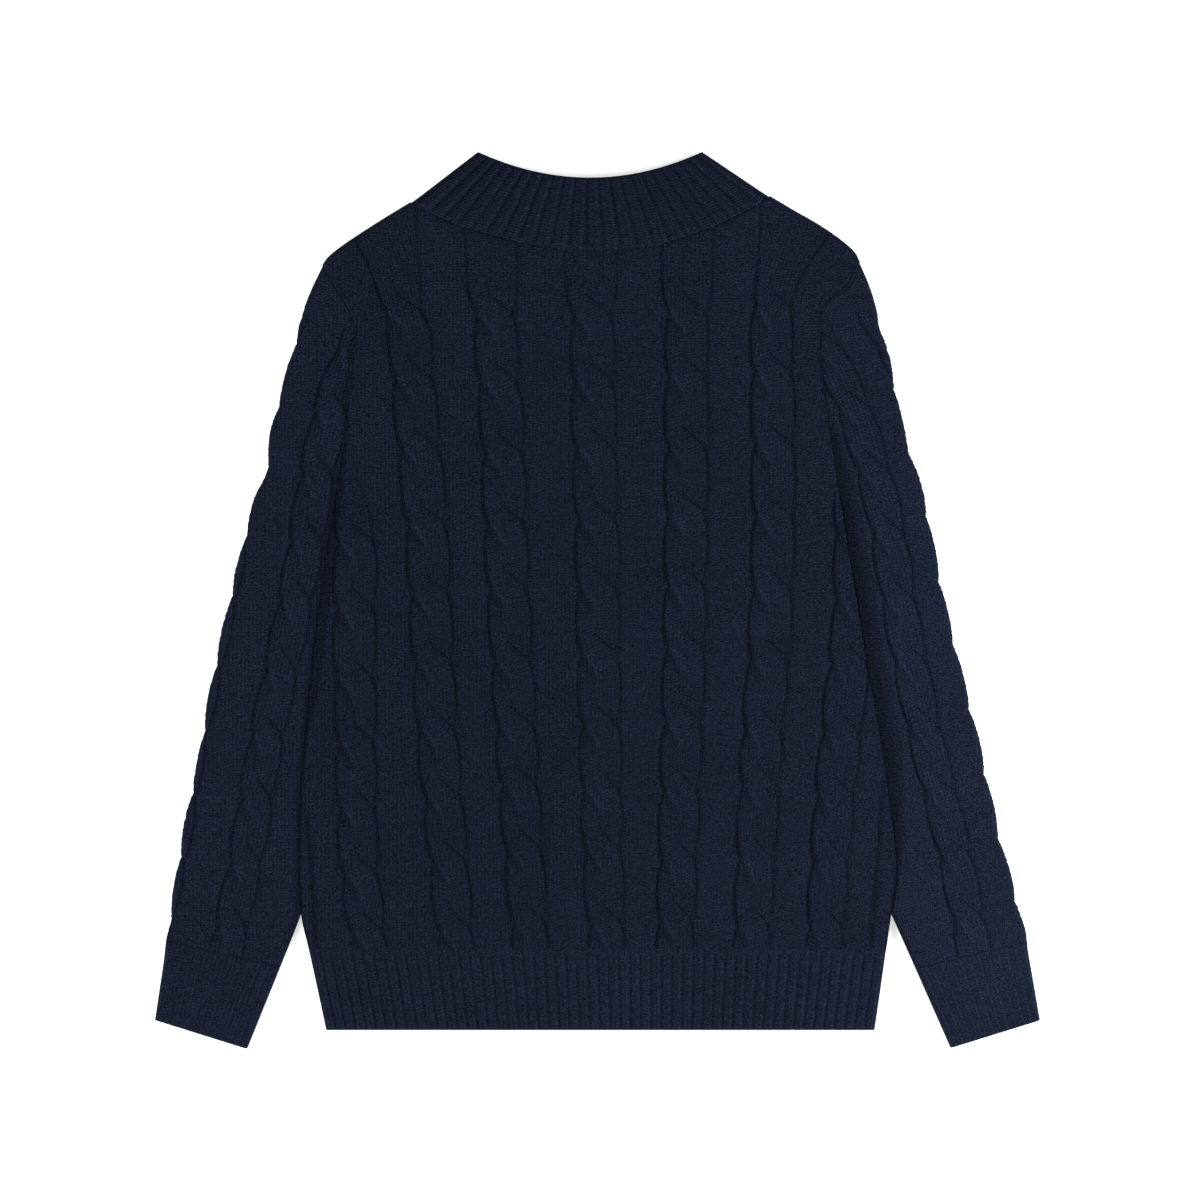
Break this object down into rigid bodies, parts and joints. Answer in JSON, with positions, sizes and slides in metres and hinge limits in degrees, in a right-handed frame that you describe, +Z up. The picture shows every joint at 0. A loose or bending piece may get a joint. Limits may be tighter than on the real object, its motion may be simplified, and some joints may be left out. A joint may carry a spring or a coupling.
{
  "type": "full-zip cable-knit sweater",
  "caption": "Navy cable-knit sweater with a ribbed stand collar and a full front zip, laid flat on its front with sleeves beside the body.",
  "frame": {"origin": "centre of the laid garment's bounding box, on the surface it lies on", "axes": "+Z up from the surface, towards the garment's back; +Y towards the collar; +X towards the wearer's right sleeve"},
  "size_m": [0.6186, 0.627, 0.0099],
  "materials": {
    "wool": "matt fine wool knit, deep navy",
    "tape": "woven zip tape, deep navy",
    "zip_metal": "dark nickel"
  },
  "bodies": {
    "garment": {"back": "wool", "front_left": "wool", "front_right": "wool", "sleeve_left": "wool", "sleeve_right": "wool", "collar": "wool", "zip_tape_left": "tape", "zip_tape_right": "tape", "zip_chain": "zip_metal", "zip_box": "zip_metal", "zip_slider": "zip_metal"},
    "pull": {"zip_pull": "zip_metal"}
  },
  "joints": [
    {"name": "pull_hinge", "type": "hinge", "parent": "garment", "child": "pull", "pos_m": [-0.002, 0.2565, 0.00132], "axis": [1, 0, 0], "range_deg": [0, 170]}
  ]
}
